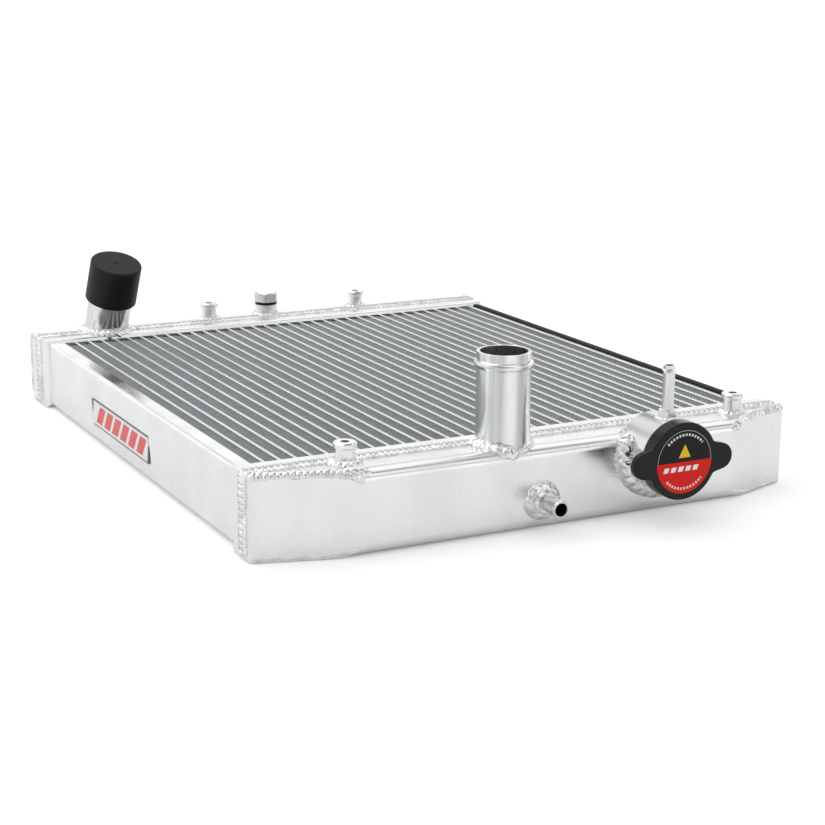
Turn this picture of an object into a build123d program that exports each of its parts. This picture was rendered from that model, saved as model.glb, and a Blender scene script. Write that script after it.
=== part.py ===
"""Aluminium car radiator lying on its back: two welded tanks, a filler neck with its cap, and a drain plug.

X runs along the tanks, +Y from the inlet tank to the outlet tank, +Z up through the core.
The design frame has X and Y zero at the middle of the core and Z zero under the tanks. Everything is moved
along Y at the end, so that the stored origin is the middle of the footprint, at the resting face.
"""

from build123d import *
import math
import os

# ------------------------------------------------------------------ core
tube_count = 33
tube_pitch = 9.92
tube_thickness = 2.0
tube_wall = 0.35
core_depth = 44.4
fin_recess = 0.6
finned_length = 348.0
bare_tube_end = 6.5
fin_skin = 0.27
side_plate_thickness = 1.2

# ------------------------------------------------------------------ side channels
side_channel_reach = 10.16
side_channel_height = 46.4
side_channel_sheet = 1.5
side_channel_bend = 2.5

# ------------------------------------------------------------------ tanks and headers
tank_height = 50.0
tank_overhang = 3.0
tank_sheet = 2.0
tank_bend = 7.0
header_depth = 17.0
header_corner = 3.0
tube_protrusion = 3.0
inlet_tank_depth = 43.7
inlet_tank_end_depth = 25.8
inlet_tank_left_run = 62.0
inlet_tank_right_run = 52.0
outlet_tank_depth = 38.6

# ------------------------------------------------------------------ hose pipes
pipe_radius = 16.0
pipe_wall = 2.0
pipe_bead = 1.5
pipe_bead_width = 5.0
pipe_lip = 7.0
pipe_inside_tank = 1.0
inlet_x = -22.5
inlet_setback = 18.2
inlet_height = 55.0
outlet_x = -129.5
outlet_offset = 1.5
outlet_row_setback = 14.0
outlet_tilt = 20.0
outlet_lean = 4.0
outlet_length = 52.0
outlet_bead = 0.9

# ------------------------------------------------------------------ rubber dust cap on the outlet
dust_cap_start = 27.0
dust_cap_length = 30.0
dust_cap_wall = 1.5
dust_cap_clearance = 0.3
dust_cap_top = 3.0
dust_cap_dimple = 1.2

# ------------------------------------------------------------------ filler neck, measured out from the tank
neck_x = 74.0
neck_z = 38.5
neck_radius = 22.5
neck_saddle = 8.0
neck_seat = 5.0
neck_throat_radius = 16.2
neck_seat_radius = 11.0
neck_groove_start = 18.0
neck_groove_width = 4.5
neck_groove_depth = 3.9
neck_flange = 2.5
neck_flange_radius = 21.8
neck_notch_angle = 50.0

# ------------------------------------------------------------------ overflow nipple
overflow_offset = 9.4
overflow_radius = 3.55
overflow_bore = 2.4
overflow_height = 32.5
overflow_nut = 10.0
overflow_nut_height = 5.5
overflow_bead = 0.5
overflow_bead_width = 2.4
overflow_bead_drop = 3.0
overflow_seat_margin = 0.3
overflow_spigot_gap = 0.5

# ------------------------------------------------------------------ small hose nipple on the inlet tank
nipple_x = -6.0
nipple_z = 18.0
nipple_radius = 4.8
nipple_bore = 4.0
nipple_length = 22.0
nipple_lip = 0.6
nipple_lip_length = 3.0
nipple_lip_slope = 1.0
nipple_bung_radius = 7.5
nipple_bung_length = 7.0
nipple_bung_chamfer = 1.5

# ------------------------------------------------------------------ fan mounting bosses
boss_foot_radius = 5.6
boss_head_radius = 6.8
boss_head_height = 4.0
boss_head_slope = 1.2
boss_height = 13.0
boss_hole = 2.5
boss_hole_depth = 10.0
boss_chamfer = 0.8
inlet_boss_setback = 17.7
inlet_boss_x = (-124.0, 142.0)
outlet_boss_x = (-45.5, 79.0)

# ------------------------------------------------------------------ drain plug
drain_x = 2.0
drain_bung_radius = 8.5
drain_bung_height = 9.0
drain_bung_chamfer = 0.6
drain_shank = 6.0
drain_clearance = 0.05
drain_hex = 17.0
drain_hex_height = 7.5
drain_crown_drop = 1.2
drain_crown_inset = 0.6
drain_flange_radius = 8.4
drain_flange_height = 1.2
drain_washer_radius = 8.7
drain_washer_height = 1.6
drain_washer_clearance = 0.1

# ------------------------------------------------------------------ lower mounting pins
pin_x = 130.0
pin_radius = 6.5
pin_length = 14.0
pin_collar_radius = 9.0
pin_collar = 3.0
pin_chamfer = 1.5

# ------------------------------------------------------------------ badge and foam strip
badge_length = 114.0
badge_height = 18.0
badge_thickness = 0.4
badge_y = 22.5
badge_z = 21.0
badge_slant = 4.0
badge_corner = 2.0
foam_width = 7.0
foam_height = 1.8
foam_inset = 4.0
foam_edge = 0.8
foam_round = 1.1

# ------------------------------------------------------------------ pressure cap
cap_sheet = 1.1
cap_side_clearance = 0.6
cap_top_gap = 2.1
cap_edge_round = 1.0
cap_skirt_gap = 0.7
cap_tab_thickness = 1.2
cap_tab_gap = 0.4
cap_tab_angle = 40.0
cap_tab_reach = 3.1
cap_ear_span = 70.0
cap_ear_radius = 8.0
cap_ear_flank = 13.0
cap_ear_blend = 4.0
cap_ear_drop = 4.0
cap_label_radius = 19.3
cap_label_thickness = 0.3
cap_boss_radius = 6.0
valve_gap = 0.1
rivet_radius = 2.2
rivet_clearance = 0.06
rivet_head_radius = 4.2
rivet_head_height = 1.0
diaphragm_radius = 20.5
diaphragm_thickness = 0.4
cage_top_radius = 13.0
cage_top_thickness = 0.8
cage_radius = 9.5
cage_wall = 0.6
cage_lip = 0.7
cage_rim_clearance = 0.5
seal_height = 2.6
seal_radius = 14.8
seal_bore = 9.0
plate_radius = 14.5
plate_thickness = 1.0
plate_hole = 1.8
plate_collar = 7.9
plate_collar_wall = 0.6
plate_collar_lip = 0.8
plate_collar_gap = 0.4
valve_lift = 3.0
spring_wire = 1.8
spring_mean_radius = 11.2
spring_turns = 5.5
vacuum_disc_radius = 5.5
vacuum_disc_thickness = 1.2
vacuum_stem_radius = 1.2
vacuum_head_radius = 2.8
vacuum_head_thickness = 0.5
vacuum_stem_rise = 3.8
vacuum_spring_wire = 0.4
vacuum_spring_mean_radius = 2.3
vacuum_spring_turns = 4.0

# ------------------------------------------------------------------ shared by the cuts and joins
cut_margin = 1.0
join_overlap = 0.5
same_radius = 0.01

# ------------------------------------------------------------------ worked out from the sizes above
fin_height = tube_pitch - tube_thickness
stack_width = tube_count * tube_pitch + fin_height
side_plate_face = stack_width / 2 + side_plate_thickness
core_width = 2 * (side_plate_face + side_channel_reach)
tank_width = core_width + 2 * tank_overhang
header_gap = finned_length + 2 * bare_tube_end
header_face = header_gap / 2
weld_line = header_face + header_depth
inlet_face = -(header_face + inlet_tank_depth)
outlet_face = header_face + outlet_tank_depth
mid_height = tank_height / 2
inlet_y = inlet_face + inlet_setback
outlet_y = (header_face + outlet_face) / 2 + outlet_offset
inlet_boss_y = inlet_face + inlet_boss_setback
outlet_row_y = outlet_face - outlet_row_setback
neck_flange_start = neck_groove_start + neck_groove_width
neck_top = neck_flange_start + neck_flange
overflow_seat_radius = overflow_nut / math.sqrt(3) + overflow_seat_margin
overflow_seat = neck_z + math.sqrt(neck_radius**2 - overflow_seat_radius**2)
cap_inner_radius = neck_flange_radius + cap_side_clearance
cap_outer_radius = cap_inner_radius + cap_sheet
cap_plate_inner = neck_top + cap_top_gap
cap_plate_outer = cap_plate_inner + cap_sheet
cap_skirt_end = neck_groove_start + cap_skirt_gap
diaphragm_bottom = neck_top + valve_gap
cage_top = diaphragm_bottom - valve_gap
cage_ceiling = cage_top - cage_top_thickness
seal_bottom = neck_seat + valve_gap
plate_bottom = seal_bottom + seal_height
plate_top = plate_bottom + plate_thickness
cage_rim = plate_top + valve_lift + cage_rim_clearance
cage_inner = cage_radius - cage_wall
cage_lip_radius = cage_inner - cage_lip
collar_lip_bottom = cage_rim + cage_wall + plate_collar_gap
front_reach = inlet_face - cap_plate_outer - cap_label_thickness
rear_reach = outlet_face + pin_length
to_origin = Location((0, -(front_reach + rear_reach) / 2, 0))

neck_frame = Plane(origin=(neck_x, inlet_face, neck_z), x_dir=(1, 0, 0), z_dir=(0, -1, 0))
nipple_frame = Plane(origin=(nipple_x, inlet_face, nipple_z), x_dir=(1, 0, 0), z_dir=(0, -1, 0))
outlet_axis = Vector(
    math.tan(math.radians(outlet_lean)), -math.tan(math.radians(outlet_tilt)), 1
).normalized()
outlet_frame = Plane(origin=(outlet_x, outlet_y, tank_height), x_dir=(1, 0, 0), z_dir=outlet_axis)


def box(low, high):
    """Box between two opposite corners."""
    size = [b - a for a, b in zip(low, high)]
    middle = [(a + b) / 2 for a, b in zip(low, high)]
    return Pos(*middle) * Box(*size)


def turned(points, frame=Plane.XY):
    """Solid of revolution about the frame's Z, from a closed outline of (radius, height) points."""
    outline = Polyline(*[(r, 0, h) for r, h in points], close=True)
    return frame * revolve(make_face(outline), Axis.Z, 360)


def rod(radius, bottom, top, frame=Plane.XY):
    """Cylinder about the frame's Z, from one height to another."""
    return frame * (Pos(0, 0, (bottom + top) / 2) * Cylinder(radius, top - bottom))


def ring(outer, inner, bottom, top, frame=Plane.XY):
    """Straight tube about the frame's Z."""
    return rod(outer, bottom, top, frame) - rod(inner, bottom - cut_margin, top + cut_margin, frame)


def sector(middle, angle, reach, height):
    """Wedge of the given angle about Z, from the XY plane up."""
    sides = [math.radians(middle + turn) for turn in (-angle / 2, angle / 2)]
    corners = [(reach * math.cos(side), reach * math.sin(side)) for side in sides]
    return extrude(make_face(Polyline((0, 0), *corners, close=True)), height)


def oval(depth, thickness):
    """Flat tube section: a slot whose long side runs through the core, drawn in the XZ plane."""
    return Plane.XZ * SlotOverall(depth, thickness, rotation=90)


def tube_positions():
    first = -(tube_count - 1) / 2 * tube_pitch
    return [first + i * tube_pitch for i in range(tube_count)]


def fin_positions():
    first = -tube_count / 2 * tube_pitch
    return [first + i * tube_pitch for i in range(tube_count + 1)]


# ------------------------------------------------------------------ core pieces
def core_tubes():
    reach = header_face + tank_sheet + tube_protrusion
    outer = extrude(oval(core_depth, tube_thickness), reach, both=True)
    bore = oval(core_depth - 2 * tube_wall, tube_thickness - 2 * tube_wall)
    inner = extrude(bore, reach + cut_margin, both=True)
    tube = outer - inner
    return Compound([Pos(x, 0, mid_height) * tube.solid() for x in tube_positions()])


def core_fins():
    """One strip in each gap, as a thin duct whose metal weighs what the strip's folded foil does."""
    depth = core_depth - 2 * fin_recess
    outer = Box(fin_height, finned_length, depth)
    inner = Box(fin_height - 2 * fin_skin, finned_length + cut_margin, depth - 2 * fin_skin)
    strip = outer - inner
    return Compound([Pos(x, 0, mid_height) * strip.solid() for x in fin_positions()])


def core_side_plates():
    plate = Box(side_plate_thickness, header_gap, core_depth)
    x = stack_width / 2 + side_plate_thickness / 2
    return Compound([Pos(side * x, 0, mid_height) * plate for side in (-1, 1)])


def side_channel(side):
    """Folded channel outside a side plate: a tall web with a flange turned in at the top and bottom."""
    inner_x, outer_x = side_plate_face, core_width / 2
    half = side_channel_height / 2
    section = Pos((inner_x + outer_x) / 2, 0) * Rectangle(outer_x - inner_x, side_channel_height)
    section = fillet(section.vertices().group_by(Axis.X)[-1], side_channel_bend)
    hollow_width = outer_x - inner_x - side_channel_sheet
    hollow = Pos(inner_x + hollow_width / 2, 0) * Rectangle(hollow_width, 2 * (half - side_channel_sheet))
    hollow = fillet(hollow.vertices().group_by(Axis.X)[-1], side_channel_bend - side_channel_sheet)
    channel = extrude(Plane.XZ * (section - hollow), header_face, both=True)
    if side < 0:
        channel = mirror(channel, Plane.YZ)
    return Pos(0, 0, mid_height) * channel.solid()


# ------------------------------------------------------------------ headers and tanks
def inlet_pipe_hole():
    return Pos(inlet_x, inlet_y, 0) * rod(pipe_radius, mid_height, tank_height + cut_margin)


def outlet_pipe_hole():
    return rod(pipe_radius, -mid_height / 2, tank_height, outlet_frame)


def header(side):
    """Pressed dish with a slot for each tube and a flange all round, which the tank is welded to."""
    dish = box((-tank_width / 2, header_face, 0), (tank_width / 2, weld_line, tank_height))
    core_edges = dish.edges().group_by(Axis.Y)[0]
    dish = fillet(core_edges, header_corner)
    dish -= box(
        (-tank_width / 2 + tank_sheet, header_face + tank_sheet, tank_sheet),
        (tank_width / 2 - tank_sheet, weld_line + cut_margin, tank_height - tank_sheet),
    )
    slot = extrude(oval(core_depth, tube_thickness), tank_sheet + cut_margin, both=True)
    dish -= [Pos(x, header_face, mid_height) * slot for x in tube_positions()]
    if side < 0:
        dish = mirror(dish, Plane.XZ)
        return (dish - inlet_pipe_hole()).solid()
    return (dish - outlet_pipe_hole()).solid()


def inlet_tank_plan(inset):
    """Outline of the inlet tank from above: a straight front with a slanted run at each end."""
    half = tank_width / 2
    end_y = -(header_face + inlet_tank_end_depth)
    points = [
        (-half, -weld_line),
        (-half, end_y),
        (-half + inlet_tank_left_run, inlet_face),
        (half - inlet_tank_right_run, inlet_face),
        (half, end_y),
        (half, -weld_line),
    ]
    plan = make_face(Polyline(*points, close=True))
    if inset:
        plan = offset(plan, -inset, kind=Kind.INTERSECTION)
        plan += Pos(0, -weld_line) * Rectangle(tank_width - 2 * inset, 4 * inset)
    return plan


def inlet_tank_body(inset):
    """Rounded front section, cut to the tank's plan. With an inset it is the space inside the sheet."""
    depth = -weld_line - inlet_face
    section = Pos(inlet_face + inset + depth, mid_height) * Rectangle(2 * depth, tank_height - 2 * inset)
    section = fillet(section.vertices().group_by(Axis.X)[0], tank_bend - inset)
    run = extrude(Plane.YZ * section, tank_width, both=True)
    return run & extrude(inlet_tank_plan(inset), tank_height)


def inlet_tank():
    tank = inlet_tank_body(0) - inlet_tank_body(tank_sheet)
    tank -= inlet_pipe_hole()
    tank -= rod(neck_seat_radius, -2 * neck_saddle, cut_margin, neck_frame)
    tank -= rod(nipple_radius, -tank_sheet - cut_margin, cut_margin, nipple_frame)
    return tank.solid()


def outlet_tank():
    """Channel folded from one sheet, open at its two ends and towards the header."""
    depth = outlet_face - weld_line
    section = Pos(outlet_face - depth / 2, mid_height) * Rectangle(depth, tank_height)
    section = fillet(section.vertices().group_by(Axis.X)[-1], tank_bend)
    inside = Pos(outlet_face - tank_sheet - depth / 2, mid_height) * Rectangle(
        depth, tank_height - 2 * tank_sheet
    )
    inside = fillet(inside.vertices().group_by(Axis.X)[-1], tank_bend - tank_sheet)
    tank = extrude(Plane.YZ * (section - inside), tank_width / 2, both=True)
    tank -= outlet_pipe_hole()
    drain_hole = rod(drain_shank + drain_clearance, mid_height, tank_height + cut_margin)
    tank -= Pos(drain_x, outlet_row_y, 0) * drain_hole
    return tank.solid()


def outlet_tank_end(side):
    """Flat plate that closes one end of the outlet tank, set in flush with the sheet's edge."""
    depth = outlet_face - tank_sheet - weld_line
    plate = Pos(weld_line + depth / 2, mid_height) * Rectangle(depth, tank_height - 2 * tank_sheet)
    plate = fillet(plate.vertices().group_by(Axis.X)[-1], tank_bend - tank_sheet)
    half = tank_width / 2
    start = half - tank_sheet if side > 0 else -half
    return (Pos(start, 0, 0) * extrude(Plane.YZ * plate, tank_sheet)).solid()


# ------------------------------------------------------------------ pipes
def hose_pipe(start, end, bead, frame):
    """Pipe with a rolled bead below its mouth that keeps the hose on."""
    bead_middle = end - pipe_lip
    half = pipe_bead_width / 2
    with BuildLine() as outline:
        Line((pipe_radius - pipe_wall, start), (pipe_radius, start))
        Line((pipe_radius, start), (pipe_radius, bead_middle - half))
        ThreePointArc(
            (pipe_radius, bead_middle - half),
            (pipe_radius + bead, bead_middle),
            (pipe_radius, bead_middle + half),
        )
        Line((pipe_radius, bead_middle + half), (pipe_radius, end))
        Line((pipe_radius, end), (pipe_radius - pipe_wall, end))
        Line((pipe_radius - pipe_wall, end), (pipe_radius - pipe_wall, start))
    profile = Plane.XZ * make_face(outline.line)
    return frame * revolve(profile, Axis.Z, 360)


def inlet_pipe():
    frame = Plane(origin=(inlet_x, inlet_y, tank_height))
    return hose_pipe(-tank_bend, inlet_height, pipe_bead, frame).solid()


def outlet_pipe():
    pipe = hose_pipe(-tank_height / 2, outlet_length, outlet_bead, outlet_frame)
    floor = tank_height - tank_sheet - pipe_inside_tank
    reach = 3 * pipe_radius
    pipe -= box(
        (outlet_x - reach, outlet_y - reach, -tank_height), (outlet_x + reach, outlet_y + reach, floor)
    )
    return pipe.solid()


def outlet_dust_cap():
    """Moulded rubber cup pushed over the outlet pipe for transport."""
    inner = pipe_radius + outlet_bead + dust_cap_clearance
    outer = inner + dust_cap_wall
    end = dust_cap_start + dust_cap_length
    cup = rod(outer, dust_cap_start, end)
    cup = fillet(cup.edges().group_by(Axis.Z)[-1], dust_cap_wall)
    cup -= rod(inner, dust_cap_start - cut_margin, end - dust_cap_top)
    cup -= rod(dust_cap_dimple, end - dust_cap_dimple / 2, end + cut_margin)
    return (outlet_frame * cup).solid()


def filler_neck():
    """Turned neck with an inner seat, a groove for the cap's tabs and a notched flange above it."""
    groove_radius = neck_radius - neck_groove_depth
    neck = turned(
        [
            (0, -neck_saddle),
            (neck_radius, -neck_saddle),
            (neck_radius, neck_groove_start),
            (groove_radius, neck_groove_start),
            (groove_radius, neck_flange_start),
            (neck_flange_radius, neck_flange_start),
            (neck_flange_radius, neck_top),
            (0, neck_top),
        ],
        neck_frame,
    )
    neck -= inlet_tank_body(0)
    neck -= rod(neck_seat_radius, -neck_saddle - cut_margin, neck_top, neck_frame)
    neck -= rod(neck_throat_radius, neck_seat, neck_top + cut_margin, neck_frame)
    rim = ring(neck_flange_radius + cut_margin, groove_radius, neck_flange_start, neck_top)
    for middle in (90, -90):
        notch = sector(middle, neck_notch_angle, 2 * neck_radius, neck_top + cut_margin)
        neck -= neck_frame * (rim & notch)
    port = Pos(neck_x, inlet_face - overflow_offset, 0)
    neck -= port * rod(overflow_seat_radius, overflow_seat, neck_z + neck_radius + cut_margin)
    neck -= port * rod(overflow_radius, neck_z + neck_throat_radius - cut_margin, neck_z + neck_radius)
    return max(neck.solids(), key=lambda solid: solid.volume)


def overflow_nipple():
    """Spigot, hexagon and beaded tube in one piece, screwed down onto a flat on top of the neck."""
    top = overflow_seat + overflow_height
    spigot = neck_z + neck_throat_radius + overflow_spigot_gap
    bead_middle = top - overflow_bead_drop
    half = overflow_bead_width / 2
    nipple = rod(overflow_radius, spigot, top)
    nipple += turned(
        [
            (0, bead_middle - half),
            (overflow_radius, bead_middle - half),
            (overflow_radius + overflow_bead, bead_middle),
            (overflow_radius, bead_middle + half),
            (0, bead_middle + half),
        ]
    )
    nut = RegularPolygon(overflow_nut / 2, 6, major_radius=False)
    nipple += Pos(0, 0, overflow_seat) * extrude(nut, overflow_nut_height)
    nipple -= rod(overflow_bore, spigot - cut_margin, top + cut_margin)
    return (Pos(neck_x, inlet_face - overflow_offset, 0) * nipple).solid()


def hose_nipple_bung():
    bung = rod(nipple_bung_radius, 0, nipple_bung_length)
    bung = chamfer(bung.edges().group_by(Axis.Z)[-1], nipple_bung_chamfer)
    bung -= rod(nipple_radius, -cut_margin, nipple_bung_length + cut_margin)
    return (nipple_frame * bung).solid()


def hose_nipple():
    lip_start = nipple_length - nipple_lip_length
    nipple = turned(
        [
            (nipple_bore, -tank_sheet),
            (nipple_radius, -tank_sheet),
            (nipple_radius, lip_start),
            (nipple_radius + nipple_lip, lip_start + nipple_lip_slope),
            (nipple_radius + nipple_lip, nipple_length - nipple_lip_slope),
            (nipple_radius, nipple_length),
            (nipple_bore, nipple_length),
        ],
        nipple_frame,
    )
    return nipple.solid()


# ------------------------------------------------------------------ bosses, drain and pins
def fan_mount_bosses():
    """Turned bosses: a plain stem that opens into a wider head, with a blind hole tapped from the top."""
    head_bottom = boss_height - boss_head_height
    boss = turned(
        [
            (0, 0),
            (boss_foot_radius, 0),
            (boss_foot_radius, head_bottom),
            (boss_head_radius, head_bottom + boss_head_slope),
            (boss_head_radius, boss_height - boss_chamfer),
            (boss_head_radius - boss_chamfer, boss_height),
            (0, boss_height),
        ]
    )
    boss -= rod(boss_hole, boss_height - boss_hole_depth, boss_height + cut_margin)
    places = [(x, inlet_boss_y) for x in inlet_boss_x] + [(x, outlet_row_y) for x in outlet_boss_x]
    return Compound([Pos(x, y, tank_height) * boss.solid() for x, y in places])


def drain_place():
    return Pos(drain_x, outlet_row_y, tank_height)


def drain_bung():
    bung = rod(drain_bung_radius, 0, drain_bung_height)
    bung = chamfer(bung.edges().group_by(Axis.Z)[-1], drain_bung_chamfer)
    bung -= rod(drain_shank + drain_clearance, -cut_margin, drain_bung_height + cut_margin)
    return (drain_place() * bung).solid()


def drain_washer():
    bottom = drain_bung_height + drain_clearance
    bore = drain_shank + drain_washer_clearance
    washer = ring(drain_washer_radius, bore, bottom, bottom + drain_washer_height)
    return (drain_place() * washer).solid()


def drain_plug():
    """Hexagon-headed plug with a round flange under the head, screwed down onto its sealing washer."""
    seat = drain_bung_height + drain_washer_height + 2 * drain_clearance
    head = extrude(RegularPolygon(drain_hex / 2, 6, major_radius=False), drain_hex_height)
    crown = turned(
        [
            (0, 0),
            (drain_hex / math.sqrt(3), 0),
            (drain_hex / math.sqrt(3), drain_hex_height - drain_crown_drop),
            (drain_hex / 2 - drain_crown_inset, drain_hex_height),
            (0, drain_hex_height),
        ]
    )
    head = (head & crown) + rod(drain_flange_radius, 0, drain_flange_height)
    shank = rod(drain_shank, -tank_sheet - pipe_inside_tank, seat + join_overlap)
    return (drain_place() * (Pos(0, 0, seat) * head + shank)).solid()


def lower_mount_pins():
    """Two pins on the back of the outlet tank that stand in rubber bushes in the car."""
    pin = rod(pin_radius, 0, pin_length)
    pin = chamfer(pin.edges().group_by(Axis.Z)[-1], pin_chamfer)
    pin += rod(pin_collar_radius, 0, pin_collar)
    places = [Plane(origin=(x, outlet_face, mid_height), z_dir=(0, 1, 0)) for x in (-pin_x, pin_x)]
    return Compound([(place * pin).solid() for place in places])


# ------------------------------------------------------------------ badge and foam
def side_badge():
    """Plain slanted plate stuck to the left channel's web."""
    half, slant = badge_length / 2, badge_slant / 2
    low, high = badge_z - badge_height / 2, badge_z + badge_height / 2
    outline = Polyline(
        (badge_y - half - slant, low), (badge_y + half - slant, low),
        (badge_y + half + slant, high), (badge_y - half + slant, high), close=True,
    )
    face = fillet(make_face(outline).vertices(), badge_corner)
    plate = extrude(Plane.YZ * face, badge_thickness)
    return (Pos(-core_width / 2 - badge_thickness, 0, 0) * plate).solid()


def foam_strip():
    """Sealing foam along the top flange of the right channel."""
    flange_top = mid_height + side_channel_height / 2
    right = side_plate_face + foam_edge + foam_width
    strip = box(
        (right - foam_width, -header_face + foam_inset, flange_top),
        (right, header_face - foam_inset, flange_top + foam_height),
    )
    return fillet(strip.edges().filter_by(Axis.Y).group_by(Axis.Z)[-1], foam_round).solid()


# ------------------------------------------------------------------ pressure cap
def ear_outline(inset):
    """Cap outline from the front: the round body and a tapered ear each side, blended in at its root."""
    radius = cap_outer_radius - inset
    tip_radius = cap_ear_radius - inset
    tip = cap_ear_span / 2 - cap_ear_radius
    flank = math.radians(cap_ear_flank)
    shoulder = (tip + tip_radius * math.sin(flank), tip_radius * math.cos(flank))
    root_x = cap_outer_radius / 2
    root = (root_x, shoulder[1] + (shoulder[0] - root_x) * math.tan(flank))
    ear_edges = [
        Line(root, shoulder),
        ThreePointArc(shoulder, (tip + tip_radius, 0), (shoulder[0], -shoulder[1])),
        Line((shoulder[0], -shoulder[1]), (root_x, -root[1])),
        Line((root_x, -root[1]), root),
    ]
    ear = make_face(ear_edges)
    outline = Circle(radius) + ear + mirror(ear, Plane.YZ)
    roots = [v for v in outline.vertices() if abs(math.hypot(v.X, v.Y) - radius) < same_radius]
    return fillet(roots, cap_ear_blend + inset)


def cap_shell():
    """Pressed steel shell: top plate with two ears, round skirt and two tabs turned in under the flange."""
    shell = rod(cap_outer_radius, cap_skirt_end, cap_plate_outer)
    ear_start = cap_plate_outer - cap_ear_drop
    shell += extrude(Pos(0, 0, ear_start) * ear_outline(0), cap_ear_drop)
    shell = fillet(shell.edges().group_by(Axis.Z)[-1], cap_edge_round)
    hollow_depth = cap_ear_drop + cut_margin - cap_sheet
    shell -= extrude(Pos(0, 0, ear_start - cut_margin) * ear_outline(cap_sheet), hollow_depth)
    shell -= rod(cap_inner_radius, cap_skirt_end - cut_margin, cap_plate_inner)
    tab_top = neck_flange_start - cap_tab_gap
    tab_tip = cap_inner_radius - cap_tab_reach
    tabs = ring(cap_inner_radius + join_overlap, tab_tip, tab_top - cap_tab_thickness, tab_top)
    for middle in (90, -90):
        shell += tabs & sector(middle, cap_tab_angle, 2 * cap_outer_radius, neck_top)
    boss_start = diaphragm_bottom + diaphragm_thickness + valve_gap
    shell += rod(cap_boss_radius, boss_start, cap_plate_outer - cap_sheet / 2)
    return (neck_frame * shell).solid()


def cap_label():
    return rod(cap_label_radius, cap_plate_outer, cap_plate_outer + cap_label_thickness, neck_frame).solid()


def cap_rivet():
    """Stud peened in the shell's centre, which the diaphragm and the spring cage hang on and turn about."""
    head_top = cage_ceiling - valve_gap
    start = diaphragm_bottom + diaphragm_thickness + valve_gap
    rivet = rod(rivet_radius, head_top - join_overlap, start, neck_frame)
    rivet += rod(rivet_head_radius, head_top - rivet_head_height, head_top, neck_frame)
    return rivet.solid()


def cap_diaphragm():
    hole = rivet_radius + rivet_clearance
    return ring(
        diaphragm_radius, hole, diaphragm_bottom, diaphragm_bottom + diaphragm_thickness, neck_frame
    ).solid()


def cap_spring_cage():
    """Cup that guides the pressure valve: the spring presses on its wide top, the valve hangs in its rim."""
    hole = rivet_radius + rivet_clearance
    return turned(
        [
            (hole, cage_ceiling),
            (cage_inner, cage_ceiling),
            (cage_inner, cage_rim + cage_wall),
            (cage_lip_radius, cage_rim + cage_wall),
            (cage_lip_radius, cage_rim),
            (cage_radius, cage_rim),
            (cage_radius, cage_ceiling),
            (cage_top_radius, cage_ceiling),
            (cage_top_radius, cage_top),
            (hole, cage_top),
        ],
        neck_frame,
    ).solid()


def coil(mean_radius, wire, bottom, top, turns):
    """Compression spring held between two faces, wound as an even helix."""
    end_gap = wire / 2 + valve_gap / 2
    height = top - bottom - 2 * end_gap
    path = Helix(height / turns, height, mean_radius)
    section = Plane(origin=path @ 0, z_dir=path % 0) * Circle(wire / 2)
    return neck_frame * (Pos(0, 0, bottom + end_gap) * sweep(section, path))


def pressure_spring():
    return coil(spring_mean_radius, spring_wire, plate_top, cage_ceiling, spring_turns).solid()


def pressure_seal():
    return ring(seal_radius, seal_bore, seal_bottom, plate_bottom, neck_frame).solid()


def pressure_plate():
    """Valve plate with a raised collar, whose turned-out lip hangs inside the cage."""
    collar_inner = plate_collar - plate_collar_wall
    return turned(
        [
            (plate_hole, plate_bottom),
            (plate_radius, plate_bottom),
            (plate_radius, plate_top),
            (plate_collar, plate_top),
            (plate_collar, collar_lip_bottom),
            (plate_collar + plate_collar_lip, collar_lip_bottom),
            (plate_collar + plate_collar_lip, collar_lip_bottom + plate_collar_wall),
            (collar_inner, collar_lip_bottom + plate_collar_wall),
            (collar_inner, plate_top),
            (plate_hole, plate_top),
        ],
        neck_frame,
    ).solid()


def vacuum_valve():
    """Small disc drawn up under the plate by its own spring, on a headed stem."""
    disc_top = plate_bottom - valve_gap
    head_bottom = plate_top + vacuum_stem_rise - vacuum_head_thickness
    return turned(
        [
            (0, disc_top - vacuum_disc_thickness),
            (vacuum_disc_radius, disc_top - vacuum_disc_thickness),
            (vacuum_disc_radius, disc_top),
            (vacuum_stem_radius, disc_top),
            (vacuum_stem_radius, head_bottom),
            (vacuum_head_radius, head_bottom),
            (vacuum_head_radius, head_bottom + vacuum_head_thickness),
            (0, head_bottom + vacuum_head_thickness),
        ],
        neck_frame,
    ).solid()


def vacuum_spring():
    head_bottom = plate_top + vacuum_stem_rise - vacuum_head_thickness
    return coil(
        vacuum_spring_mean_radius, vacuum_spring_wire, plate_top, head_bottom, vacuum_spring_turns
    ).solid()


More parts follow.
